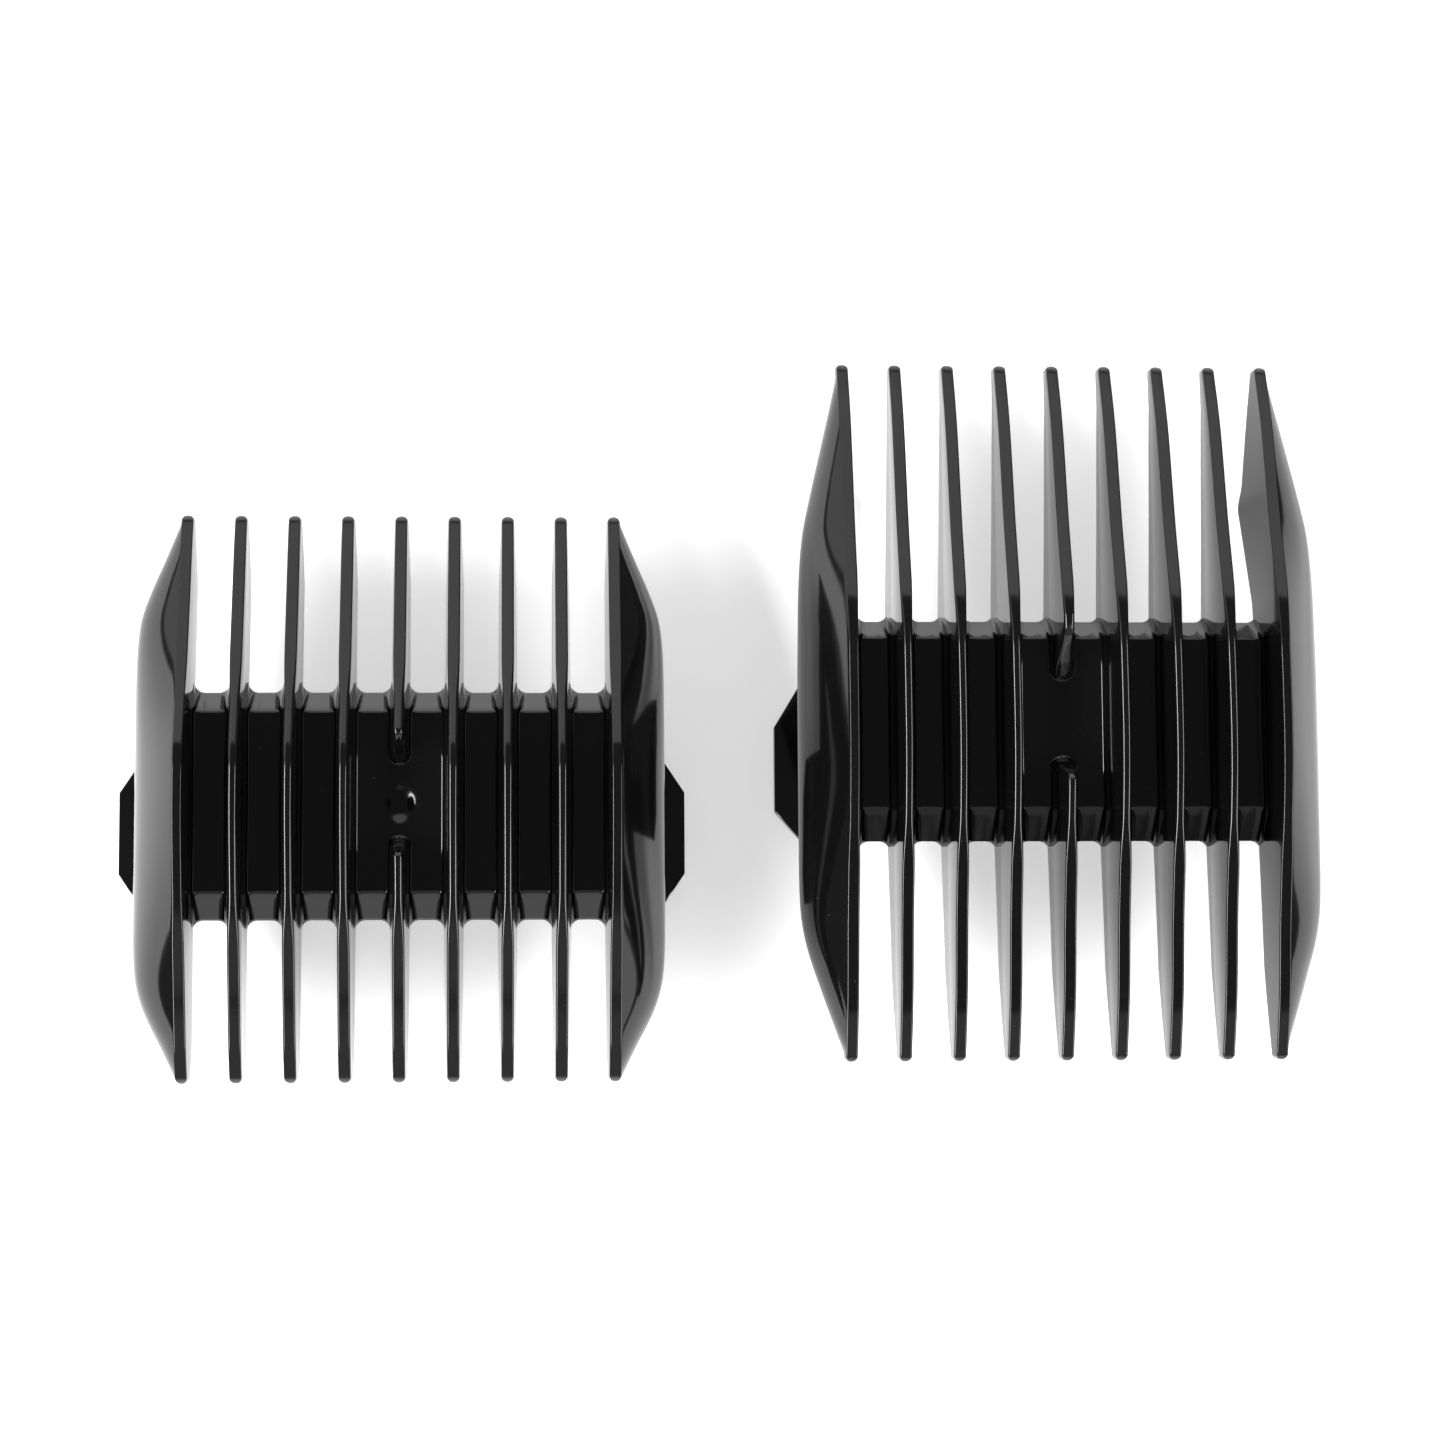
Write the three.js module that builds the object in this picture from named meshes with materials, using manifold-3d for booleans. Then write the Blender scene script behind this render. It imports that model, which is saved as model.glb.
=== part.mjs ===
// A pair of loose guide combs for a hair clipper, one short and one long.
// Each comb is a single moulding: nine parallel teeth that run over a cross bridge,
// two flared side walls, and two clip arms below, each with a finger tab.
// Millimetres, +Z up, teeth along Y, clip arms standing on Z = 0.
import * as THREE from 'three';
import { mergeVertices } from 'three/addons/utils/BufferGeometryUtils.js';
import Module from 'manifold-3d';

// ---------- driving dimensions shared by both combs ----------
const TOOTH_COUNT = 9;
const CREST_HALF_WIDTH = 0.54;
const TIP_ROUNDING = 0.5;
const SEAT_HEIGHT = 11.2;
const WALL_HALF_WIDTH = 23.05;
const WALL_SKIN = 1.4;
const GROOVE_START = 1.6;
const GROOVE_ROOF_BELOW_CREST = 3.6;
const GROOVE_MIN_WIDTH = 0.6;
const GROOVE_OUTER_ROOF_SHARE = 0.25;
const ARM_INNER = 20.1;
const ARM_OUTER = 22.0;
const ARM_TOP = 12.8;
const ARM_TOP_HALF_LENGTH = 7.6;
const TAB_BOTTOM = 1.0;
const TAB_TOP = 2.4;
const ROOT_RADIUS = 0.9;
const ROOT_WEB_HEIGHT = 0.6;
const BRIDGE_EDGE_HEIGHT = 0.35;
const DIMPLE_RADIUS = 1.9;
const DIMPLE_DEPTH = 0.45;
// The outer face of a side wall, from the crest's edge (0, 0) out and down to the foot (1, 1).
// It is nearly flat at the middle and round towards the tips.
const WALL_FACE_MIDDLE = [[0, 0], [0.37, 0.22], [0.94, 0.6], [1, 1]];
const WALL_FACE_TIPS = [[0, 0], [0.42, 0.19], [0.97, 0.52], [1, 1]];
const WALL_FACE_CHANGE = 4.5;
const WALL_FACE_STEPS = 7;

// ---------- where the two combs lie side by side ----------
const COMB_SPACING_X = 57.72;
const LONG_COMB_FORWARD_Y = 6.35;

// ---------- the short comb ----------
const SHORT_COMB = {
  pitch: 4.65,
  draft: 0.052,
  crest: [[-22.2, 12.2], [-19.6, 13.6], [-13.6, 15.5], [-5.0, 18.1], [1.2, 19.2],
    [5.9, 18.9], [10.4, 17.3], [19.4, 14.1], [24.4, 12.4], [27.3, 11.1]],
  underside: [[-22.2, 10.8], [-20.0, 9.9], [-8.2, 11.2], [11.6, 11.2], [21.4, 8.8], [27.3, 10.2]],
  wallUnderside: [[-22.2, 10.8], [-20.0, 9.9], [-8.2, 11.2], [11.6, 11.2], [21.4, 8.8], [27.3, 10.2]],
  wallFoot: [[-22.2, 10.9], [-17.5, 10.0], [20.5, 10.0], [27.3, 10.4]],
  wallOutline: [[-22.2, 19.0], [-19.0, 20.6], [-17.0, 21.65], [-15.3, 22.35], [-13.5, 22.8],
    [-10.0, 23.05], [0.0, 23.08], [9.0, 23.05], [16.3, 22.86], [18.3, 22.56],
    [20.2, 21.92], [23.8, 20.37], [27.3, 18.9]],
  wallFlare: [[-22.2, 0], [27.3, 0]],
  bridgeFoot: [-8.2, 11.6],
  bridgeFlat: [-5.8, 9.7],
  bridgeTop: 13.7,
  middleGap: [-1.25, 5.3],
  middleRuns: [2.0, 2.5],
  armHalfLength: 7.1,
  tabRoot: 22.9,
  tabHalfWidth: 25.2,
  tabHalfLength: 3.65,
  tabShift: 0.0,
  dimpleY: 1.6,
};

// ---------- the long comb ----------
const LONG_COMB = {
  pitch: 4.70,
  draft: 0.085,
  crest: [[-27.0, 13.8], [-21.7, 15.4], [-14.8, 16.4], [-8.8, 17.7], [-1.2, 19.0],
    [5.5, 19.0], [11.8, 18.4], [20.0, 15.9], [29.4, 13.3], [34.8, 11.0]],
  underside: [[-27.0, 12.6], [-19.0, 11.4], [-7.8, 11.2], [11.6, 11.2], [31.0, 10.8], [34.8, 10.0]],
  wallUnderside: [[-27.0, 12.6], [-19.0, 11.4], [-7.8, 11.2], [11.6, 11.2], [21.9, 8.9], [34.8, 10.0]],
  wallFoot: [[-27.0, 12.7], [-19.0, 11.4], [20.0, 11.4], [31.0, 10.8], [34.8, 10.3]],
  wallOutline: [[-27.0, 19.1], [-24.5, 19.97], [-20.0, 21.5], [-17.0, 22.42], [-14.5, 22.88],
    [-11.0, 23.05], [0.0, 23.08], [9.0, 23.02], [16.5, 22.8], [19.5, 22.5],
    [23.0, 21.78], [27.0, 20.86], [31.0, 19.93], [34.8, 19.1]],
  // The inner faces swell here and snap past the blade set.
  wallFlare: [[-27.0, 0], [13.6, 0], [22.4, 0.75], [24.2, 0.45], [34.8, 0]],
  bridgeFoot: [-7.8, 11.6],
  bridgeFlat: [-4.9, 9.9],
  bridgeTop: 13.7,
  middleGap: [-0.7, 6.3],
  middleRuns: [2.4, 5.2],
  armHalfLength: 7.0,
  tabRoot: 22.1,
  tabHalfWidth: 24.4,
  tabHalfLength: 3.8,
  tabShift: -0.6,
  dimpleY: null,
};

const wasm = await Module();
wasm.setup();

// Turns a three.js geometry into a manifold solid.
function solid(geometry) {
  const bare = geometry.index ? geometry.toNonIndexed() : geometry.clone();
  bare.deleteAttribute('normal');
  bare.deleteAttribute('uv');
  const merged = mergeVertices(bare, 1e-4);
  return new wasm.Manifold(new wasm.Mesh({
    numProp: 3,
    vertProperties: new Float32Array(merged.attributes.position.array),
    triVerts: new Uint32Array(merged.index.array),
  }));
}

// Turns a manifold solid back into a three.js geometry.
function geometryOf(body) {
  const mesh = body.getMesh();
  const geometry = new THREE.BufferGeometry();
  geometry.setAttribute('position', new THREE.BufferAttribute(mesh.vertProperties, 3));
  geometry.setIndex(new THREE.BufferAttribute(mesh.triVerts, 1));
  geometry.computeVertexNormals();
  return geometry;
}

// Height along a curve given by a few [y, z] points.
function smoothCurve(points) {
  const ys = points.map((p) => p[0]);
  const zs = points.map((p) => p[1]);
  const curve = new THREE.CubicInterpolant(ys, zs, 1);
  return (y) => curve.evaluate(y)[0];
}

// Height along straight runs between [y, z] points.
function straightCurve(points) {
  const ys = points.map((p) => p[0]);
  const zs = points.map((p) => p[1]);
  const curve = new THREE.LinearInterpolant(ys, zs, 1);
  return (y) => curve.evaluate(y)[0];
}

// A flat outline in X and Z, carried along Y through the stations. The place function
// gives the X and Z of each outline point at each station.
function loft(outline, stations, place) {
  const last = stations.length - 1;
  const geometry = new THREE.ExtrudeGeometry(outline, { depth: last, steps: last, bevelEnabled: false });
  const position = geometry.attributes.position;
  for (let i = 0; i < position.count; i += 1) {
    const y = stations[last - Math.round(position.getZ(i))];
    const [x, z] = place(position.getX(i), position.getY(i), y);
    position.setXYZ(i, x, y, z);
  }
  return solid(geometry);
}

// An outline in plan, raised from one height to another.
function planBlock(points, bottom, top) {
  const outline = new THREE.Shape(points.map((p) => new THREE.Vector2(p[0], p[1])));
  const geometry = new THREE.ExtrudeGeometry(outline, { depth: top - bottom, bevelEnabled: false });
  geometry.translate(0, 0, bottom);
  return solid(geometry);
}

// Stations from one end to the other, closer together where a tooth tip is rounded.
function stationsBetween(from, to, roundLow, roundHigh, count) {
  const near = [0.02, 0.12, 0.32, 0.6];
  const low = roundLow ? near.map((n) => from + n * TIP_ROUNDING) : [];
  const high = roundHigh ? near.map((n) => to - n * TIP_ROUNDING).reverse() : [];
  const start = roundLow ? from + TIP_ROUNDING : from;
  const end = roundHigh ? to - TIP_ROUNDING : to;
  const middle = [];
  for (let i = 0; i <= count; i += 1) {
    middle.push(start + ((end - start) * i) / count);
  }
  return [...low, ...middle, ...high];
}

// How much of the full tooth width is left this close to a rounded tip.
function tipShare(y, low, high) {
  const inside = Math.min(y - low, high - y) / TIP_ROUNDING;
  if (inside >= 1) return 1;
  return Math.sqrt(1 - (1 - inside) ** 2);
}

// One tooth, or one run of a tooth, from one Y to another. The lower function gives how far
// its crest is taken down.
function tooth(comb, centre, from, to, lower) {
  const crest = smoothCurve(comb.crest);
  const foot = straightCurve(comb.underside);
  const [low, high] = [comb.crest[0][0], comb.crest.at(-1)[0]];
  const count = Math.max(6, Math.round((to - from) / 2.6));
  const stations = stationsBetween(from, to, from === low, to === high, count);
  const outline = new THREE.Shape([
    new THREE.Vector2(-1, 0),
    new THREE.Vector2(1, 0),
    new THREE.Vector2(1, 1),
    new THREE.Vector2(-1, 1),
  ]);
  return loft(outline, stations, (side, rise, y) => {
    const share = tipShare(y, low, high);
    const bottom = foot(y);
    const height = crest(y) - bottom;
    const cut = lower(y);
    const half = CREST_HALF_WIDTH + comb.draft * (rise ? cut : height);
    const top = bottom + height * (0.5 + 0.5 * share) - cut;
    return [centre + side * half * share, rise ? top : bottom];
  });
}

// The middle tooth is left out over part of the bridge. Both of its runs round over and
// come down to the bridge.
function middleTooth(comb) {
  const [low, high] = [comb.crest[0][0], comb.crest.at(-1)[0]];
  const [gapLow, gapHigh] = comb.middleGap;
  const [runLow, runHigh] = comb.middleRuns;
  const crest = smoothCurve(comb.crest);
  const none = () => 0;
  const cosine = (start, run) => (y) => {
    const drop = crest(y) - comb.bridgeTop + 0.2;
    return drop * (0.5 - 0.5 * Math.cos((Math.PI * (y - start)) / run));
  };
  const lowEnd = gapLow - runLow;
  const highEnd = gapHigh + runHigh;
  return tooth(comb, 0, low, lowEnd, none)
    .add(tooth(comb, 0, lowEnd, gapLow, cosine(lowEnd, runLow)))
    .add(tooth(comb, 0, gapHigh, highEnd, cosine(highEnd, -runHigh)))
    .add(tooth(comb, 0, highEnd, high, none));
}

// Half the width over the two side walls, along Y.
function wallHalfWidth(comb) {
  const outline = smoothCurve(comb.wallOutline);
  return (y) => Math.min(outline(y), WALL_HALF_WIDTH);
}

// A point of a wall's outer face at Y. Along the face, t runs from 0 at the crest to 1 at the foot.
function wallFace(comb) {
  const crest = smoothCurve(comb.crest);
  const highest = Math.max(...comb.crest.map((p) => p[1]));
  return (t, y) => {
    const blend = THREE.MathUtils.smoothstep(highest - crest(y), 0, WALL_FACE_CHANGE);
    const points = WALL_FACE_MIDDLE.map((p, i) => {
      const middle = new THREE.Vector2(...p);
      return middle.lerp(new THREE.Vector2(...WALL_FACE_TIPS[i]), blend);
    });
    return new THREE.CubicBezierCurve(...points).getPoint(t);
  };
}

// One flared side wall. Its inner face is the flank of the outermost tooth.
// In the outline, X is -1 at the inner face and t at each point of the outer face.
function sideWall(comb, sign) {
  const crest = smoothCurve(comb.crest);
  const under = straightCurve(comb.wallUnderside);
  const foot = straightCurve(comb.wallFoot);
  const flare = straightCurve(comb.wallFlare);
  const halfWidth = wallHalfWidth(comb);
  const [low, high] = [comb.crest[0][0], comb.crest.at(-1)[0]];
  const stations = stationsBetween(low, high, true, true, 24);
  const face = wallFace(comb);
  const outline = [new THREE.Vector2(-1, 0)];
  for (let i = WALL_FACE_STEPS; i >= 0; i -= 1) {
    const t = i / WALL_FACE_STEPS;
    outline.push(new THREE.Vector2(t, 1 - t * t));
  }
  outline.push(new THREE.Vector2(-1, 1));
  const centre = comb.pitch * 4;
  const wall = loft(new THREE.Shape(outline), stations, (across, rise, y) => {
    const share = tipShare(y, low, high);
    const bottom = across < 0 ? under(y) : Math.min(foot(y), crest(y) - 0.4);
    const top = bottom + (crest(y) - bottom) * (0.5 + 0.5 * share);
    if (across < 0) {
      const drafted = (comb.draft * (crest(y) - bottom) + flare(y)) * (1 - rise);
      return [centre - (CREST_HALF_WIDTH + drafted) * share, bottom + rise * (top - bottom)];
    }
    const outerCrest = centre + CREST_HALF_WIDTH * share;
    const outer = centre + Math.max(halfWidth(y) - centre, CREST_HALF_WIDTH + 0.05) * share;
    const point = face(across, y);
    return [outerCrest + (outer - outerCrest) * point.x, top - (top - bottom) * point.y];
  });
  return sign > 0 ? wall : wall.mirror([1, 0, 0]);
}

// The hollow that keeps each side wall an even thickness, open from below.
function wallGroove(comb, sign) {
  const crest = smoothCurve(comb.crest);
  const foot = straightCurve(comb.wallFoot);
  const halfWidth = wallHalfWidth(comb);
  const inner = comb.pitch * 4 + GROOVE_START;
  const width = (y) => halfWidth(y) - WALL_SKIN - inner;
  const [low, high] = [comb.crest[0][0], comb.crest.at(-1)[0]];
  const stations = [];
  for (let i = 0; i <= 24; i += 1) {
    const y = low + ((high - low) * i) / 24;
    if (width(y) > GROOVE_MIN_WIDTH) stations.push(y);
  }
  const outline = new THREE.Shape([
    new THREE.Vector2(0, 0),
    new THREE.Vector2(1, 0),
    new THREE.Vector2(1, 1),
    new THREE.Vector2(0.12, 1),
  ]);
  const groove = loft(outline, stations, (across, rise, y) => {
    const innerRoof = crest(y) - GROOVE_ROOF_BELOW_CREST;
    const outerRoof = foot(y) + GROOVE_OUTER_ROOF_SHARE * (crest(y) - foot(y));
    const roof = across > 0.5 ? outerRoof : innerRoof;
    return [inner + across * width(y), rise ? roof : 0];
  });
  return sign > 0 ? groove : groove.mirror([1, 0, 0]);
}

// The cross bridge that ties the teeth together, sloped down along both long edges.
function bridge(comb) {
  const half = comb.pitch * 4;
  const [footLow, footHigh] = comb.bridgeFoot;
  const [flatLow, flatHigh] = comb.bridgeFlat;
  const edge = SEAT_HEIGHT + BRIDGE_EDGE_HEIGHT;
  const outline = new THREE.Shape([
    new THREE.Vector2(footLow, SEAT_HEIGHT),
    new THREE.Vector2(footHigh, SEAT_HEIGHT),
    new THREE.Vector2(footHigh, edge),
    new THREE.Vector2(flatHigh, comb.bridgeTop),
    new THREE.Vector2(flatLow, comb.bridgeTop),
    new THREE.Vector2(footLow, edge),
  ]);
  const geometry = new THREE.ExtrudeGeometry(outline, { depth: 2 * half, bevelEnabled: false });
  geometry.translate(0, 0, -half);
  // Shape X becomes Y, shape Y becomes Z, and the extrusion runs along X.
  geometry.applyMatrix4(new THREE.Matrix4().makeBasis(
    new THREE.Vector3(0, 1, 0),
    new THREE.Vector3(0, 0, 1),
    new THREE.Vector3(1, 0, 0),
  ));
  return solid(geometry);
}

// The rounded floor of one gap between two teeth, at one long edge of the bridge.
function gapFloor(comb, centre, edge, outward) {
  const reach = comb.pitch / 2 - 0.2;
  const clear = comb.pitch / 2 - CREST_HALF_WIDTH - comb.draft * 6;
  const right = [];
  for (let i = 0; i <= 4; i += 1) {
    const angle = (i / 4) * (Math.PI / 2);
    const across = clear - ROOT_RADIUS * (1 - Math.cos(angle));
    const along = ROOT_RADIUS * (1 - Math.sin(angle));
    right.push([across, along]);
  }
  const left = right.map((p) => [-p[0], p[1]]).reverse();
  const rim = [[-reach, -0.6], [reach, -0.6], [reach, ROOT_RADIUS], ...right, ...left, [-reach, ROOT_RADIUS]];
  const placed = rim.map((p) => [centre + p[0] * outward, edge + p[1] * outward]);
  return planBlock(placed, SEAT_HEIGHT, SEAT_HEIGHT + ROOT_WEB_HEIGHT);
}

// One clip arm below a side wall, with its finger tab.
function clipArm(comb, sign) {
  const half = comb.armHalfLength;
  const face = new THREE.Shape([
    new THREE.Vector2(-half + 0.8, 0),
    new THREE.Vector2(half - 0.8, 0),
    new THREE.Vector2(half, 1.2),
    new THREE.Vector2(ARM_TOP_HALF_LENGTH, ARM_TOP),
    new THREE.Vector2(-ARM_TOP_HALF_LENGTH, ARM_TOP),
    new THREE.Vector2(-half, 1.2),
  ]);
  const depth = ARM_OUTER - ARM_INNER;
  const geometry = new THREE.ExtrudeGeometry(face, { depth, bevelEnabled: false });
  geometry.translate(0, 0, ARM_INNER);
  geometry.applyMatrix4(new THREE.Matrix4().makeBasis(
    new THREE.Vector3(0, 1, 0),
    new THREE.Vector3(0, 0, 1),
    new THREE.Vector3(1, 0, 0),
  ));
  const tab = planBlock([
    [ARM_INNER + 0.4, -half],
    [comb.tabRoot, -half],
    [comb.tabHalfWidth, comb.tabShift - comb.tabHalfLength],
    [comb.tabHalfWidth, comb.tabShift + comb.tabHalfLength],
    [comb.tabRoot, half],
    [ARM_INNER + 0.4, half],
  ], TAB_BOTTOM, TAB_TOP);
  const arm = solid(geometry).add(tab);
  return sign > 0 ? arm : arm.mirror([1, 0, 0]);
}

// The shallow round dimple in the middle of the short comb's bridge.
function dimple(comb) {
  const sphereRadius = (DIMPLE_RADIUS ** 2 + DIMPLE_DEPTH ** 2) / (2 * DIMPLE_DEPTH);
  const geometry = new THREE.SphereGeometry(sphereRadius, 32, 24);
  geometry.translate(0, comb.dimpleY, comb.bridgeTop - DIMPLE_DEPTH + sphereRadius);
  return solid(geometry);
}

// One whole comb, as one moulding.
function combBody(comb) {
  const [low, high] = [comb.crest[0][0], comb.crest.at(-1)[0]];
  let body = bridge(comb);
  for (let i = 1; i < TOOTH_COUNT - 1; i += 1) {
    const centre = (i - 4) * comb.pitch;
    const one = i === 4 ? middleTooth(comb) : tooth(comb, centre, low, high, () => 0);
    body = body.add(one);
  }
  for (let i = 0; i < TOOTH_COUNT - 1; i += 1) {
    const centre = (i - 3.5) * comb.pitch;
    body = body.add(gapFloor(comb, centre, comb.bridgeFoot[1], 1));
    body = body.add(gapFloor(comb, centre, comb.bridgeFoot[0], -1));
  }
  for (const sign of [-1, 1]) {
    const hollow = sideWall(comb, sign).subtract(wallGroove(comb, sign));
    body = body.add(hollow).add(clipArm(comb, sign));
  }
  if (comb.dimpleY !== null) body = body.subtract(dimple(comb));
  return body;
}

function combMesh(name, comb, x, y) {
  const material = new THREE.MeshStandardMaterial({ color: 0x141416, roughness: 0.22, metalness: 0.0 });
  const geometry = geometryOf(combBody(comb));
  geometry.translate(x, y, 0);
  const mesh = new THREE.Mesh(geometry, material);
  mesh.name = name;
  return mesh;
}

const pair = new THREE.Group();
pair.name = 'clipper_guide_combs';
pair.add(combMesh('short_guide_comb', SHORT_COMB, -COMB_SPACING_X / 2, -LONG_COMB_FORWARD_Y / 2));
pair.add(combMesh('long_guide_comb', LONG_COMB, COMB_SPACING_X / 2, LONG_COMB_FORWARD_Y / 2));

// Centre the pair over the origin.
const box = new THREE.Box3().setFromObject(pair);
for (const mesh of pair.children) {
  mesh.geometry.translate(-(box.min.x + box.max.x) / 2, -(box.min.y + box.max.y) / 2, -box.min.z);
}

export default pair;
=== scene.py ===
import math

import bmesh
import bpy
from mathutils import Matrix, Vector


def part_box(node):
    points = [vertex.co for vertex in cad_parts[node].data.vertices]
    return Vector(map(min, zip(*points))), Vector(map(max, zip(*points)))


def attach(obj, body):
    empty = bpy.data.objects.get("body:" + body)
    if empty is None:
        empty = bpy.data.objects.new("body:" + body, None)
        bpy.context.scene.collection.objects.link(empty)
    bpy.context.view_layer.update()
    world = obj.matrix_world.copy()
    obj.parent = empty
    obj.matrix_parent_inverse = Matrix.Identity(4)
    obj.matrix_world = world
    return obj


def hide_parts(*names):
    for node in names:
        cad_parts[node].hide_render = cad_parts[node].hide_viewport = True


# The combs are in millimetres in each comb's own frame (x across the teeth, y along them,
# z up from the surface), and go to metres in the CAD frame in add_mesh(). Lamps are in metres.
MM = 0.001

TEETH = 9
CREST_HALF = 0.54
TIP_ROUNDING = 0.5
SEAT = 11.2
SEAT_RECESS = 0.05
WALL_HALF = 23.05
WALL_SKIN = 1.4
GROOVE_START = 1.6
GROOVE_ROOF = 3.6
ARM_INNER = 20.1
ARM_OUTER = 22.0
ARM_TOP = 12.8
ARM_TOP_HALF = 7.6
TAB_BOTTOM = 1.0
TAB_TOP = 2.4
ROOT_RADIUS = 0.9
LAND = 0.35
RIB_FILLET = 0.36
CREST_NARROWING = 0.10
MIDDLE = 4
EDGE_SOFTENING = 0.08
LAMP_DISTANCE = 0.9
# The outer face of a side wall, from the crest's edge (0, 0) out and down to the foot (1, 1).
WALL_MIDDLE = ((0.0, 0.0), (0.37, 0.22), (0.94, 0.6), (1.0, 1.0))
WALL_TIPS = ((0.0, 0.0), (0.42, 0.19), (0.97, 0.52), (1.0, 1.0))
WALL_CHANGE = 4.5

SHORT = {
    "node": "short_guide_comb",
    "body": "short_comb",
    "pitch": 4.65,
    "draft": 0.052,
    "crest": [(-22.2, 12.2), (-19.6, 13.6), (-13.6, 15.5), (-5.0, 18.1), (1.2, 19.2),
              (5.9, 18.9), (10.4, 17.3), (19.4, 14.1), (24.4, 12.4), (27.3, 11.1)],
    "under": [(-22.2, 10.8), (-20.0, 9.9), (-8.2, 11.2), (11.6, 11.2), (21.4, 8.8), (27.3, 10.2)],
    "wall_under": [(-22.2, 10.8), (-20.0, 9.9), (-8.2, 11.2), (11.6, 11.2), (21.4, 8.8),
                   (27.3, 10.2)],
    "wall_foot": [(-22.2, 10.9), (-17.5, 10.0), (20.5, 10.0), (27.3, 10.4)],
    "wall_flare": [(-22.2, 0.0), (27.3, 0.0)],
    "outline": [(-22.2, 19.0), (-19.0, 20.6), (-17.0, 21.65), (-15.3, 22.35), (-13.5, 22.8),
                (-10.0, 23.05), (0.0, 23.08), (9.0, 23.05), (16.3, 22.86), (18.3, 22.56),
                (20.2, 21.92), (23.8, 20.37), (27.3, 18.9)],
    "bridge_foot": (-8.2, 11.6),
    "bridge_flat": (-5.8, 9.7),
    "bridge_top": 13.7,
    "middle_gap": (-1.25, 5.3),
    "middle_runs": (2.0, 2.5),
    "arm_half": 7.1,
    "tab_root": 22.9,
    "tab_half_width": 25.2,
    "tab_half_length": 3.65,
    "tab_shift": 0.0,
    "dimple": (1.8, 2.1, 2.7, 0.58),
}
LONG = {
    "node": "long_guide_comb",
    "body": "long_comb",
    "pitch": 4.70,
    "draft": 0.085,
    "crest": [(-27.0, 13.8), (-21.7, 15.4), (-14.8, 16.4), (-8.8, 17.7), (-1.2, 19.0),
              (5.5, 19.0), (11.8, 18.4), (20.0, 15.9), (29.4, 13.3), (34.8, 11.0)],
    "under": [(-27.0, 12.6), (-19.0, 11.4), (-7.8, 11.2), (11.6, 11.2), (31.0, 10.8), (34.8, 10.0)],
    "wall_under": [(-27.0, 12.6), (-19.0, 11.4), (-7.8, 11.2), (11.6, 11.2), (21.9, 8.9),
                   (34.8, 10.0)],
    "wall_foot": [(-27.0, 12.7), (-19.0, 11.4), (20.0, 11.4), (31.0, 10.8), (34.8, 10.3)],
    "wall_flare": [(-27.0, 0.0), (13.6, 0.0), (22.4, 0.75), (24.2, 0.45), (34.8, 0.0)],
    "outline": [(-27.0, 19.1), (-24.5, 19.97), (-20.0, 21.5), (-17.0, 22.42), (-14.5, 22.88),
                (-11.0, 23.05), (0.0, 23.08), (9.0, 23.02), (16.5, 22.8), (19.5, 22.5),
                (23.0, 21.78), (27.0, 20.86), (31.0, 19.93), (34.8, 19.1)],
    "bridge_foot": (-7.8, 11.6),
    "bridge_flat": (-4.9, 9.9),
    "bridge_top": 13.7,
    "middle_gap": (-0.7, 6.3),
    "middle_runs": (2.4, 5.2),
    "arm_half": 7.0,
    "tab_root": 22.1,
    "tab_half_width": 24.4,
    "tab_half_length": 3.8,
    "tab_shift": -0.6,
    "dimple": (2.9, 1.4, 1.4, 0.10),
}


# ---------------------------------------------------------------- curves
def smooth(points, y):
    """Height of a smooth curve through a few (y, z) points."""
    ys = [p[0] for p in points]
    i = 1
    while i < len(ys) - 1 and y > ys[i]:
        i += 1
    t0, t1 = ys[i - 1], ys[i]
    before, after = i - 2, i + 1
    t_before = ys[before] if before >= 0 else t1
    t_after = ys[after] if after < len(ys) else t0
    before = before if before >= 0 else i
    after = after if after < len(ys) else i - 1
    half = (t1 - t0) * 0.5
    wp, wn = half / (t0 - t_before), half / (t_after - t1)
    p = (y - t0) / (t1 - t0)
    pp, ppp = p * p, p * p * p
    sp = -wp * ppp + 2 * wp * pp - wp * p
    s0 = (1 + wp) * ppp + (-1.5 - 2 * wp) * pp + (-0.5 + wp) * p + 1
    s1 = (-1 - wn) * ppp + (1.5 + wn) * pp + 0.5 * p
    sn = wn * ppp - wn * pp
    return sp * points[before][1] + s0 * points[i - 1][1] + s1 * points[i][1] + sn * points[after][1]


def straight(points, y):
    """Height of straight runs between (y, z) points."""
    for (ya, za), (yb, zb) in zip(points, points[1:]):
        if y <= yb:
            return za + (zb - za) * (y - ya) / (yb - ya)
    return points[-1][1]


def bezier(points, t):
    """A point on a cubic curve."""
    a, b, c, d = (1 - t) ** 3, 3 * t * (1 - t) ** 2, 3 * t * t * (1 - t), t ** 3
    return tuple(a * p + b * q + c * r + d * s for p, q, r, s in zip(*points))


def ease(t):
    """0 to 1 with level ends."""
    t = min(max(t, 0.0), 1.0)
    return t * t * (3 - 2 * t)


def ends(comb):
    return comb["crest"][0][0], comb["crest"][-1][0]


def tip_share(comb, y):
    """How much of a tooth's full width is left this close to its rounded tip."""
    low, high = ends(comb)
    inside = min(y - low, high - y) / TIP_ROUNDING
    return 1.0 if inside >= 1 else math.sqrt(max(0.0, 1 - (1 - inside) ** 2))


def tooth_stations(low, high, round_low, round_high, step=0.45):
    near = [0.02, 0.05, 0.08, 0.13, 0.22, 0.34, 0.48, 0.64, 0.82]
    first = [low + n * TIP_ROUNDING for n in near] if round_low else []
    last = [high - n * TIP_ROUNDING for n in reversed(near)] if round_high else []
    start = low + TIP_ROUNDING if round_low else low
    end = high - TIP_ROUNDING if round_high else high
    count = max(2, round((end - start) / step))
    return first + [start + (end - start) * i / count for i in range(count + 1)] + last


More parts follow.
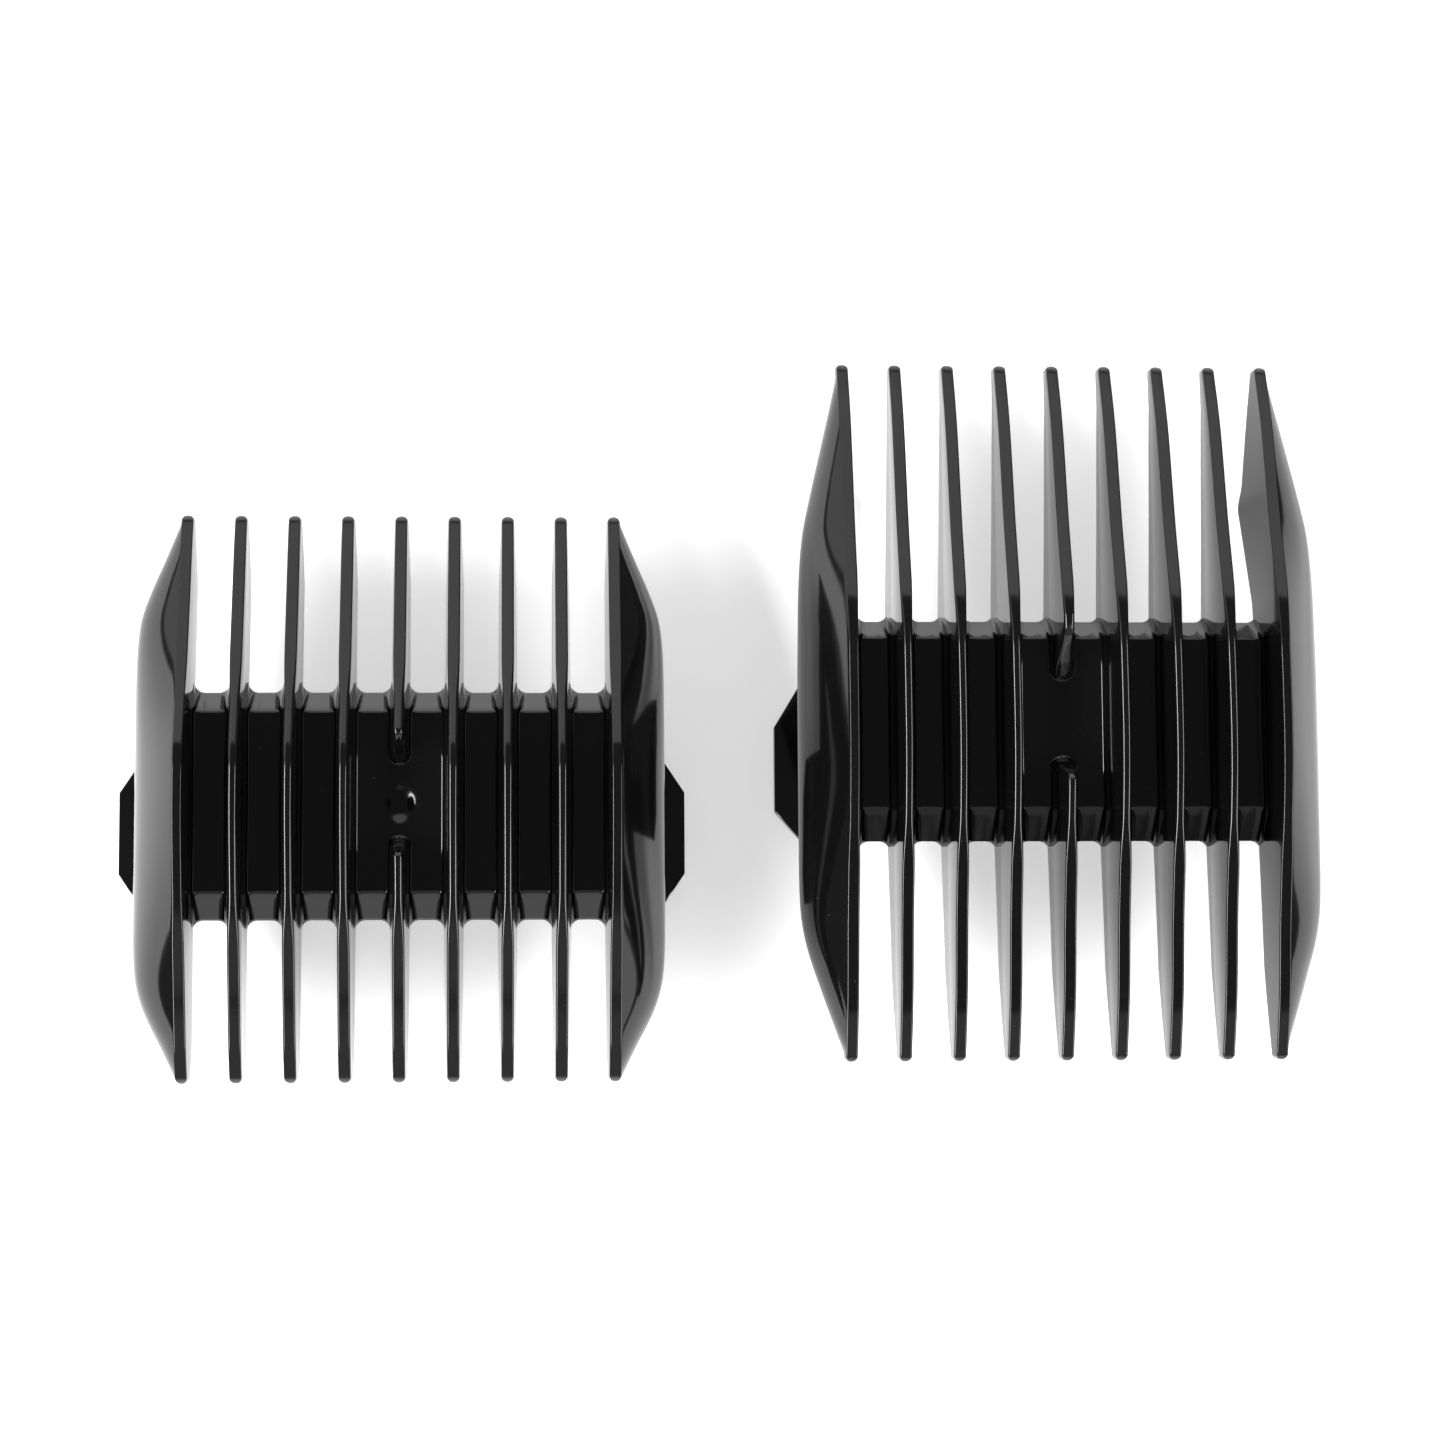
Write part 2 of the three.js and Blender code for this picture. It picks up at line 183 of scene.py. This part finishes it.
# ---------------------------------------------------------------- meshes
class Shape:
    """Closed lofts gathered into one mesh."""

    def __init__(self):
        self.verts, self.faces = [], []

    def loft(self, rings):
        """Joins equal rings of (x, y, z) points, closed round and capped at both ends."""
        base, n = len(self.verts), len(rings[0])
        for ring in rings:
            self.verts.extend(ring)
        for r in range(len(rings) - 1):
            for k in range(n):
                a, b = base + r * n + k, base + r * n + (k + 1) % n
                self.faces.append((a, b, b + n, a + n))
        self.faces.append(tuple(base + k for k in reversed(range(n))))
        self.faces.append(tuple(base + (len(rings) - 1) * n + k for k in range(n)))


def add_mesh(name, shape, comb, origin, material, crease=38.0):
    """One shown piece of a comb, riding that comb's body."""
    mesh = bpy.data.meshes.new(name)
    ox, oy, oz = origin
    points = [((x + ox) * MM, (y + oy) * MM, (z + oz) * MM) for x, y, z in shape.verts]
    mesh.from_pydata(points, [], shape.faces)
    bm = bmesh.new()
    bm.from_mesh(mesh)
    bmesh.ops.remove_doubles(bm, verts=bm.verts, dist=1e-7)
    bmesh.ops.recalc_face_normals(bm, faces=bm.faces)
    for face in bm.faces:
        face.smooth = True
    for edge in bm.edges:
        if len(edge.link_faces) == 2:
            edge.smooth = edge.calc_face_angle(0.0) < math.radians(crease)
    bm.to_mesh(mesh)
    bm.free()
    mesh.materials.append(material)
    piece = bpy.data.objects.new(name, mesh)
    bpy.context.scene.collection.objects.link(piece)
    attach(piece, comb["body"])
    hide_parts(comb["node"])
    return piece


def corner(cx, cz, radius, start, stop, steps):
    """Points round one corner, from one angle in degrees to another."""
    found = []
    for i in range(steps + 1):
        angle = math.radians(start + (stop - start) * i / steps)
        found.append((cx + radius * math.cos(angle), cz + radius * math.sin(angle)))
    return found


def tooth_section(top_half, bottom_half, bottom, top, rounding):
    """Outline of a tooth: soft crest edges, soft lower edges."""
    rt = min(rounding, top_half * 0.9, (top - bottom) * 0.3)
    rb = min(0.12, bottom_half * 0.35, (top - bottom) * 0.3)
    out = []
    out += corner(-bottom_half + rb, bottom + rb, rb, 270, 180, 3)
    out += corner(-top_half + rt, top - rt, rt, 180, 90, 7)
    out += corner(top_half - rt, top - rt, rt, 90, 0, 7)
    out += corner(bottom_half - rb, bottom + rb, rb, 0, -90, 3)
    return out


def over_bridge(comb, y):
    """1 over the bridge, 0 out on the free teeth."""
    low, high = comb["bridge_foot"]
    return ease((y - low + 3.0) / 5.0) * ease((high + 3.0 - y) / 5.0)


def seat_recess(comb, y):
    """Teeth and walls stop just above the bridge's underside, which is the one flat seat."""
    low, high = comb["bridge_foot"]
    return SEAT_RECESS * ease((y - low - 0.3) / 0.5) * ease((high - 0.3 - y) / 0.5)


def crest_half_at(comb, y):
    """The crest is a little narrower over the bridge than on the free teeth."""
    return CREST_HALF - CREST_NARROWING * over_bridge(comb, y)


def tooth_ring(comb, centre, y, top_cut=0.0, narrow=1.0):
    share = tip_share(comb, y)
    bottom = straight(comb["under"], y) + seat_recess(comb, y)
    full = smooth(comb["crest"], y)
    top = bottom + (full - bottom) * (0.5 + 0.5 * share) - top_cut
    foot_half = CREST_HALF + comb["draft"] * (full - bottom)
    crest_half = crest_half_at(comb, y)
    if top_cut:
        crest_half += (foot_half - crest_half) * top_cut / max(full - bottom, 0.1)
    keep = max(share * narrow, 0.03)
    rounding = 0.17 + 0.19 * over_bridge(comb, y)
    top = max(top, bottom + 0.05)
    ring = tooth_section(crest_half * keep, foot_half * keep, bottom, top, rounding)
    return [(centre + x, y, z) for x, z in ring]


def root_half(comb):
    """Half a rib's thickness where it meets the top of the bridge."""
    return CREST_HALF + comb["draft"] * 5.2


def end_rings(comb, start, run):
    """The middle tooth rounds over, falls to the bridge and ends in a half round."""
    half = root_half(comb)
    steps = [k / 16 for k in range(1, 12)]
    steps += [1 - half / abs(run) * (1 - math.sin(math.pi / 2 * k / 10)) for k in range(11)]
    steps = sorted(t for t in steps if t <= 1)
    rings = []
    for t in steps:
        y = start + run * t
        fall = t * t if t < 0.5 else t - 0.25
        cut = (smooth(comb["crest"], y) - comb["bridge_top"] - 0.05) * fall / 0.75
        beyond = max(0.0, half - abs(run) * (1 - t)) / half
        rings.append(tooth_ring(comb, 0.0, y, cut, math.sqrt(max(0.0, 1 - beyond * beyond))))
    return rings


def teeth_piece(comb, name, origin, material):
    """The seven inner teeth. The middle one is left out over part of the bridge."""
    shape = Shape()
    low, high = ends(comb)
    for i in range(1, TEETH - 1):
        centre = (i - MIDDLE) * comb["pitch"]
        if i != MIDDLE:
            shape.loft([tooth_ring(comb, centre, y) for y in tooth_stations(low, high, True, True)])
            continue
        (gap_low, gap_high), (run_low, run_high) = comb["middle_gap"], comb["middle_runs"]
        stop_low, stop_high = gap_low - run_low, gap_high + run_high
        front = [tooth_ring(comb, centre, y) for y in tooth_stations(low, stop_low, True, False)]
        back = [tooth_ring(comb, centre, y) for y in tooth_stations(stop_high, high, False, True)]
        shape.loft(front + end_rings(comb, stop_low, run_low))
        shape.loft(end_rings(comb, stop_high, -run_high)[::-1] + back)
    return add_mesh(name, shape, comb, origin, material)


def bridge_stations(comb, clear):
    """x stations across the whole bridge: fine where gap floors and ribs curve."""
    inner = [clear * k / 8 * 0.45 for k in range(9)]
    outer = [clear * (0.45 + 0.55 * math.sin(math.pi / 2 * k / 14)) for k in range(1, 15)]
    half_row = inner + outer
    row = [-u for u in reversed(half_row)] + half_row[1:]
    found = [-MIDDLE * comb["pitch"]]
    for bay in range(TEETH - 1):
        found += [(bay - 3.5) * comb["pitch"] + u for u in row]
        if bay == 3:
            reach = comb["pitch"] / 2 - clear
            found += [reach * k / 12 for k in range(-11, 12)]
    return found + [MIDDLE * comb["pitch"]]


def fillet_lift(comb, x, y, flank):
    """How far the fillet along a rib's root lifts the bridge's top at (x, y)."""
    tooth = round(x / comb["pitch"])
    away = max(abs(x - tooth * comb["pitch"]) - flank, 0.0)
    low, high = comb["middle_gap"][0] - flank, comb["middle_gap"][1] + flank
    if tooth == 0 and low < y < high:
        away = max(math.hypot(x, min(y - low, high - y)) - flank, 0.0)
    left = RIB_FILLET - away
    return RIB_FILLET - math.sqrt(RIB_FILLET ** 2 - left ** 2) if left > 0 else 0.0


def flat_shares(comb):
    """Shares of the way over the bridge's flat, closer where the middle tooth ends."""
    high, low = comb["bridge_flat"][1] + 0.27, comb["bridge_flat"][0] - 0.27
    spots = [k / 60 for k in range(61)]
    for end, way in ((comb["middle_gap"][0], 1), (comb["middle_gap"][1], -1)):
        for k in range(33):
            spots.append((high - (end + way * (k * 0.04 - 0.85))) / (high - low))
    spots.sort()
    kept = [0.0]
    for spot in spots:
        if spot - kept[-1] > 0.0012:
            kept.append(min(spot, 1.0))
    kept[-1] = 1.0
    return kept


def bridge_piece(comb, name, origin, material):
    """The cross bridge with bevelled long edges and U-shaped gap floors between the teeth."""
    shape = Shape()
    foot_low, foot_high = comb["bridge_foot"]
    flat_low, flat_high = comb["bridge_flat"]
    top, edge = comb["bridge_top"], SEAT + LAND
    clear = comb["pitch"] / 2 - root_half(comb)
    shares = flat_shares(comb)
    dimple_y, dimple_across, dimple_along, dimple_deep = comb["dimple"]

    def bevel(t):
        """Share of the bevel's height at share t of its run: lip, straight slope, rounded top."""
        return min(1.0, t * 1.03) - 0.03 * ease((t - 0.8) / 0.2) * (t < 1)

    rings = []
    for x in bridge_stations(comb, clear):
        tooth = round(x / comb["pitch"]) * comb["pitch"]
        a = comb["pitch"] / 2 - abs(x - tooth)
        a = min(a, clear)
        into = max(0.0, a - (clear - ROOT_RADIUS))
        reach = ROOT_RADIUS - math.sqrt(max(0.0, ROOT_RADIUS ** 2 - into ** 2))
        low, high = foot_low - reach, foot_high + reach
        f_low, f_high = flat_low - 0.3 * reach, flat_high + 0.3 * reach
        ring = [(low + EDGE_SOFTENING, SEAT), (high - EDGE_SOFTENING, SEAT),
                (high, SEAT + EDGE_SOFTENING), (high, edge)]
        for k in range(1, 12):
            t = k / 12
            ring.append((high + (f_high - high) * t, edge + (top - edge) * bevel(t)))
        for share in shares:
            ring.append((f_high + (f_low - f_high) * share, top))
        for k in range(11, 0, -1):
            t = k / 12
            ring.append((low + (f_low - low) * t, edge + (top - edge) * bevel(t)))
        ring += [(low, edge), (low, SEAT + EDGE_SOFTENING)]
        done = []
        for y, z in ring:
            if z > edge + 0.01:
                z += fillet_lift(comb, x, y, comb["pitch"] / 2 - clear)
                away = math.hypot(x / dimple_across, (y - dimple_y) / dimple_along)
                if away < 1:
                    z -= dimple_deep * (0.5 + 0.5 * math.cos(math.pi * away))
            done.append((x, y, z))
        rings.append(done)
    shape.loft(rings)
    return add_mesh(name, shape, comb, origin, material, crease=50.0)


def wall_face(comb, y):
    """The outer face's curve at y: nearly flat at the middle, round towards the tips."""
    highest = max(z for _, z in comb["crest"])
    blend = ease((highest - smooth(comb["crest"], y)) / WALL_CHANGE)
    return [tuple(a + (b - a) * blend for a, b in zip(p, q)) for p, q in zip(WALL_MIDDLE, WALL_TIPS)]


def wall_half_width(comb, y):
    return min(smooth(comb["outline"], y), WALL_HALF)


def wall_ring(comb, y):
    """One side wall's outline at y: crest, flared outer face, foot, groove, inner flank."""
    centre = comb["pitch"] * MIDDLE
    share = max(tip_share(comb, y), 0.03)
    full = smooth(comb["crest"], y)
    inner_foot = straight(comb["wall_under"], y) + seat_recess(comb, y)
    outer_foot = straight(comb["wall_foot"], y)
    top = inner_foot + (full - inner_foot) * (0.5 + 0.5 * tip_share(comb, y))
    outer_foot = min(outer_foot, top - 0.3)
    crest_half = crest_half_at(comb, y) * share
    flare = straight(comb["wall_flare"], y)
    inner = centre - (CREST_HALF + comb["draft"] * (full - inner_foot) + flare) * share
    outer = centre + (max(wall_half_width(comb, y), centre + CREST_HALF + 0.05) - centre) * share
    rt = min(0.16, crest_half * 0.4, (top - inner_foot) * 0.3)
    ring = corner(centre - crest_half + rt, top - rt, rt, 180, 90, 5)
    ring += corner(centre + crest_half - rt, top - rt, rt, 90, 52, 4)
    edge_x, edge_z = ring[-1]
    face = wall_face(comb, y)
    for k in range(1, 25):
        x, z = bezier(face, k / 24)
        ring.append((edge_x + (outer - edge_x) * x, edge_z - (edge_z - outer_foot - 0.1) * z))
    ring.append((outer - 0.1 * share, outer_foot))
    # The groove that keeps the wall an even thickness, closing towards the tips.
    g_in = centre + GROOVE_START
    g_out = outer - WALL_SKIN
    deep = ease((g_out - g_in - 0.4) / 0.7)
    if deep <= 0:
        g_in = g_out = inner + 0.5 * (outer - inner)
    level = outer_foot + (inner_foot - outer_foot) * 0.3
    roof_in = inner_foot + max(full - GROOVE_ROOF - inner_foot, 0.0) * deep
    roof_out = level + 0.25 * max(full - outer_foot, 0.0) * deep
    ring.append((g_out + 0.05, level))
    ring.append((g_out, roof_out))
    ring.append((g_in + 0.05 + 0.1 * deep, max(roof_in, inner_foot)))
    ring.append((g_in, inner_foot))
    ring.append((inner + 0.1 * share, inner_foot))
    ring.append((inner, inner_foot + 0.1))
    return [(x, y, z) for x, z in ring]


def mirrored(ring, sign):
    return ring if sign > 0 else [(-x, y, z) for x, y, z in ring]


def wall_piece(comb, name, sign, origin, material):
    shape = Shape()
    low, high = ends(comb)
    stations = tooth_stations(low, high, True, True, 0.4)
    shape.loft([mirrored(wall_ring(comb, y), sign) for y in stations])
    return add_mesh(name, shape, comb, origin, material)


def soft_box(points, bottom, top, r):
    """Rings for a flat plate in plan with its upper and lower edges softened."""
    cx = sum(p[0] for p in points) / len(points)
    cy = sum(p[1] for p in points) / len(points)

    def inset(by):
        out = []
        for x, y in points:
            d = math.hypot(x - cx, y - cy)
            out.append((x - (x - cx) / d * by, y - (y - cy) / d * by))
        return out

    levels = [(bottom, r), (bottom + 0.3 * r, 0.3 * r), (bottom + r, 0.0),
              (top - r, 0.0), (top - 0.3 * r, 0.3 * r), (top, r)]
    return [[(x, y, z) for x, y in inset(by)] for z, by in levels]


def arm_piece(comb, name, sign, origin, material):
    """One clip arm with its finger tab."""
    shape = Shape()
    half = comb["arm_half"]
    face = [(-half + 0.8, 0.0), (half - 0.8, 0.0), (half, 1.2),
            (ARM_TOP_HALF, ARM_TOP), (-ARM_TOP_HALF, ARM_TOP), (-half, 1.2)]
    rings = []
    for x, by in ((ARM_INNER, 0.12), (ARM_INNER + 0.12, 0.0),
                  (ARM_OUTER - 0.12, 0.0), (ARM_OUTER, 0.12)):
        rings.append([(x, y - math.copysign(by, y), max(z, by)) for y, z in face])
    shape.loft([mirrored(r, sign) for r in rings])
    shift, tab = comb["tab_shift"], comb["tab_half_length"]
    plan = [(ARM_INNER + 0.4, -half), (comb["tab_root"], -half),
            (comb["tab_half_width"], shift - tab), (comb["tab_half_width"], shift + tab),
            (comb["tab_root"], half), (ARM_INNER + 0.4, half)]
    shape.loft([mirrored(r, sign) for r in soft_box(plan, TAB_BOTTOM, TAB_TOP, 0.14)])
    return add_mesh(name, shape, comb, origin, material, crease=30.0)


# ---------------------------------------------------------------- materials
def black_plastic(name, seed):
    """Glossy black moulded plastic with faint flow, fine scratches and a little dust."""
    mat = bpy.data.materials.new(name)
    mat.use_nodes = True
    nodes, links = mat.node_tree.nodes, mat.node_tree.links
    bsdf = nodes["Principled BSDF"]
    bsdf.inputs["IOR"].default_value = 1.5
    coords = nodes.new("ShaderNodeTexCoord")
    shift = nodes.new("ShaderNodeMapping")
    shift.inputs["Location"].default_value = (seed, seed * 0.7, 0.0)
    links.new(coords.outputs["Object"], shift.inputs["Vector"])

    broad = nodes.new("ShaderNodeTexNoise")
    broad.inputs["Scale"].default_value = 90.0
    broad.inputs["Detail"].default_value = 3.0
    links.new(shift.outputs["Vector"], broad.inputs["Vector"])

    dust = nodes.new("ShaderNodeTexNoise")
    dust.inputs["Scale"].default_value = 2600.0
    dust.inputs["Detail"].default_value = 2.0
    links.new(shift.outputs["Vector"], dust.inputs["Vector"])
    dust_mask = nodes.new("ShaderNodeMapRange")
    dust_mask.inputs["From Min"].default_value = 0.74
    dust_mask.inputs["From Max"].default_value = 0.80
    links.new(dust.outputs["Fac"], dust_mask.inputs["Value"])

    stretch = nodes.new("ShaderNodeMapping")
    stretch.inputs["Scale"].default_value = (2400.0, 60.0, 900.0)
    links.new(shift.outputs["Vector"], stretch.inputs["Vector"])
    scratch = nodes.new("ShaderNodeTexNoise")
    scratch.inputs["Scale"].default_value = 1.0
    scratch.inputs["Detail"].default_value = 2.0
    links.new(stretch.outputs["Vector"], scratch.inputs["Vector"])

    tone = nodes.new("ShaderNodeValToRGB")
    tone.color_ramp.elements[0].color = (0.0022, 0.0022, 0.0024, 1)
    tone.color_ramp.elements[1].color = (0.0042, 0.0042, 0.0045, 1)
    links.new(broad.outputs["Fac"], tone.inputs["Fac"])
    mix = nodes.new("ShaderNodeMix")
    mix.data_type = "RGBA"
    mix.inputs["B"].default_value = (0.035, 0.035, 0.034, 1)
    links.new(dust_mask.outputs["Result"], mix.inputs["Factor"])
    links.new(tone.outputs["Color"], mix.inputs["A"])
    links.new(mix.outputs["Result"], bsdf.inputs["Base Color"])

    rough = nodes.new("ShaderNodeMapRange")
    rough.inputs["To Min"].default_value = 0.05
    rough.inputs["To Max"].default_value = 0.09
    links.new(broad.outputs["Fac"], rough.inputs["Value"])
    rough_add = nodes.new("ShaderNodeMath")
    rough_add.operation = "MULTIPLY_ADD"
    rough_add.inputs[1].default_value = 0.05
    links.new(scratch.outputs["Fac"], rough_add.inputs[0])
    links.new(rough.outputs["Result"], rough_add.inputs[2])
    links.new(rough_add.outputs["Value"], bsdf.inputs["Roughness"])

    height = nodes.new("ShaderNodeMath")
    height.operation = "MULTIPLY_ADD"
    height.inputs[1].default_value = 0.25
    links.new(scratch.outputs["Fac"], height.inputs[0])
    links.new(broad.outputs["Fac"], height.inputs[2])
    bump = nodes.new("ShaderNodeBump")
    bump.inputs["Strength"].default_value = 0.12
    bump.inputs["Distance"].default_value = 0.00004
    links.new(height.outputs["Value"], bump.inputs["Height"])
    links.new(bump.outputs["Normal"], bsdf.inputs["Normal"])
    return mat


def paper(name, albedo, glow):
    """Matt paper that glows a little, which keeps the floor pale in the shadows."""
    mat = bpy.data.materials.new(name)
    mat.use_nodes = True
    bsdf = mat.node_tree.nodes["Principled BSDF"]
    bsdf.inputs["Base Color"].default_value = (albedo, albedo, albedo, 1)
    bsdf.inputs["Roughness"].default_value = 0.95
    bsdf.inputs["Specular IOR Level"].default_value = 0.1
    bsdf.inputs["Emission Color"].default_value = (1, 1, 1, 1)
    bsdf.inputs["Emission Strength"].default_value = glow
    return mat


# ---------------------------------------------------------------- stage, lights, camera
def add_floor():
    """One plain white floor, seen alike by the camera and by the plastic."""
    bpy.ops.mesh.primitive_plane_add(size=3.0, location=(0, 0, -0.0001))
    floor = bpy.context.object
    floor.name = "floor"
    floor.data.materials.append(paper("white_paper", 0.85, 0.45))


def area(name, azimuth, elevation, width, height, glow):
    """A soft box facing the combs. Azimuth runs from +X towards +Y, glow is its radiance."""
    az, el = math.radians(azimuth), math.radians(elevation)
    back = Vector((math.cos(el) * math.cos(az), math.cos(el) * math.sin(az), math.sin(el)))
    side = Vector((-math.sin(az), math.cos(az), 0.0))
    up = back.cross(side)
    place = back * LAMP_DISTANCE
    data = bpy.data.lights.new(name, "AREA")
    data.shape = "RECTANGLE"
    data.size, data.size_y = width, height
    data.energy = glow * math.pi * width * height
    lamp = bpy.data.objects.new(name, data)
    bpy.context.scene.collection.objects.link(lamp)
    lamp.matrix_world = Matrix((
        (side.x, up.x, back.x, place.x),
        (side.y, up.y, back.y, place.y),
        (side.z, up.z, back.z, place.z),
        (0, 0, 0, 1),
    ))


def add_lights():
    area("back_box", 90, 41, 1.1, 0.40, 1.15)
    area("back_low_box", 90, 13, 1.1, 0.42, 1.8)
    area("left_lamp", 196, 41, 0.95, 0.19, 24.0)
    area("right_lamp", -16, 41, 0.95, 0.19, 10.0)
    area("front_box", 270, 9, 1.2, 0.32, 1.4)
    area("front_high_box", 270, 40, 1.0, 0.62, 0.45)
    area("left_back_box", 146, 23, 0.60, 0.62, 1.1)
    area("right_front_box", 330, 23, 0.60, 0.62, 1.7)
    world = bpy.data.worlds.new("studio")
    world.use_nodes = True
    world.node_tree.nodes["Background"].inputs["Color"].default_value = (0.12, 0.12, 0.12, 1)
    world.node_tree.nodes["Background"].inputs["Strength"].default_value = 1.0
    bpy.context.scene.world = world


def add_camera(short_origin):
    """Almost straight above, tilted a few degrees towards the long comb."""
    data = bpy.data.cameras.new("camera")
    data.sensor_width = 36.0
    data.lens = 85.0
    data.dof.use_dof = False
    data.clip_start, data.clip_end = 0.01, 10.0
    camera = bpy.data.objects.new("camera", data)
    bpy.context.scene.collection.objects.link(camera)
    place = Vector((short_origin[0] + 8.74, short_origin[1] - 22.15, 308.0)) * MM
    ahead = Vector((math.tan(math.radians(3.73)), math.tan(math.radians(6.0)), -1.0)).normalized()
    right = ahead.cross(Vector((0, 1, 0))).normalized()
    up = right.cross(ahead)
    roll = math.radians(-0.35)
    right, up = (right * math.cos(roll) + up * math.sin(roll),
                 up * math.cos(roll) - right * math.sin(roll))
    camera.matrix_world = Matrix((
        (right.x, up.x, -ahead.x, place.x),
        (right.y, up.y, -ahead.y, place.y),
        (right.z, up.z, -ahead.z, place.z),
        (0, 0, 0, 1),
    ))
    bpy.context.scene.camera = camera


def build_comb(comb, prefix, seed):
    low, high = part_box(comb["node"])
    tip_low, tip_high = ends(comb)
    middle_x, middle_y = (low.x + high.x) / 2 / MM, (low.y + high.y) / 2 / MM
    origin = (middle_x, middle_y - (tip_low + tip_high) / 2, low.z / MM)
    plastic = black_plastic(prefix + "_plastic", seed)
    teeth_piece(comb, prefix + "_teeth", origin, plastic)
    bridge_piece(comb, prefix + "_bridge", origin, plastic)
    for side, sign in (("left", -1), ("right", 1)):
        wall_piece(comb, f"{prefix}_{side}_wall", sign, origin, plastic)
        arm_piece(comb, f"{prefix}_{side}_clip_arm", sign, origin, plastic)
    return origin


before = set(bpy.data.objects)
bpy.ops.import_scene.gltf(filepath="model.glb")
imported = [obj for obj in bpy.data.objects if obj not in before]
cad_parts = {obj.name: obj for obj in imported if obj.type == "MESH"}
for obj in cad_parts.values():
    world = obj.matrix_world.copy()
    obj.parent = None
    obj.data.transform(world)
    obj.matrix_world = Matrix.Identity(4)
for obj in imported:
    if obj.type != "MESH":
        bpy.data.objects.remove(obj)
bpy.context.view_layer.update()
bpy.context.scene.view_settings.view_transform = "Standard"
short_origin = build_comb(SHORT, "short_comb", 0.0)
build_comb(LONG, "long_comb", 3.1)
add_floor()
add_lights()
add_camera(short_origin)
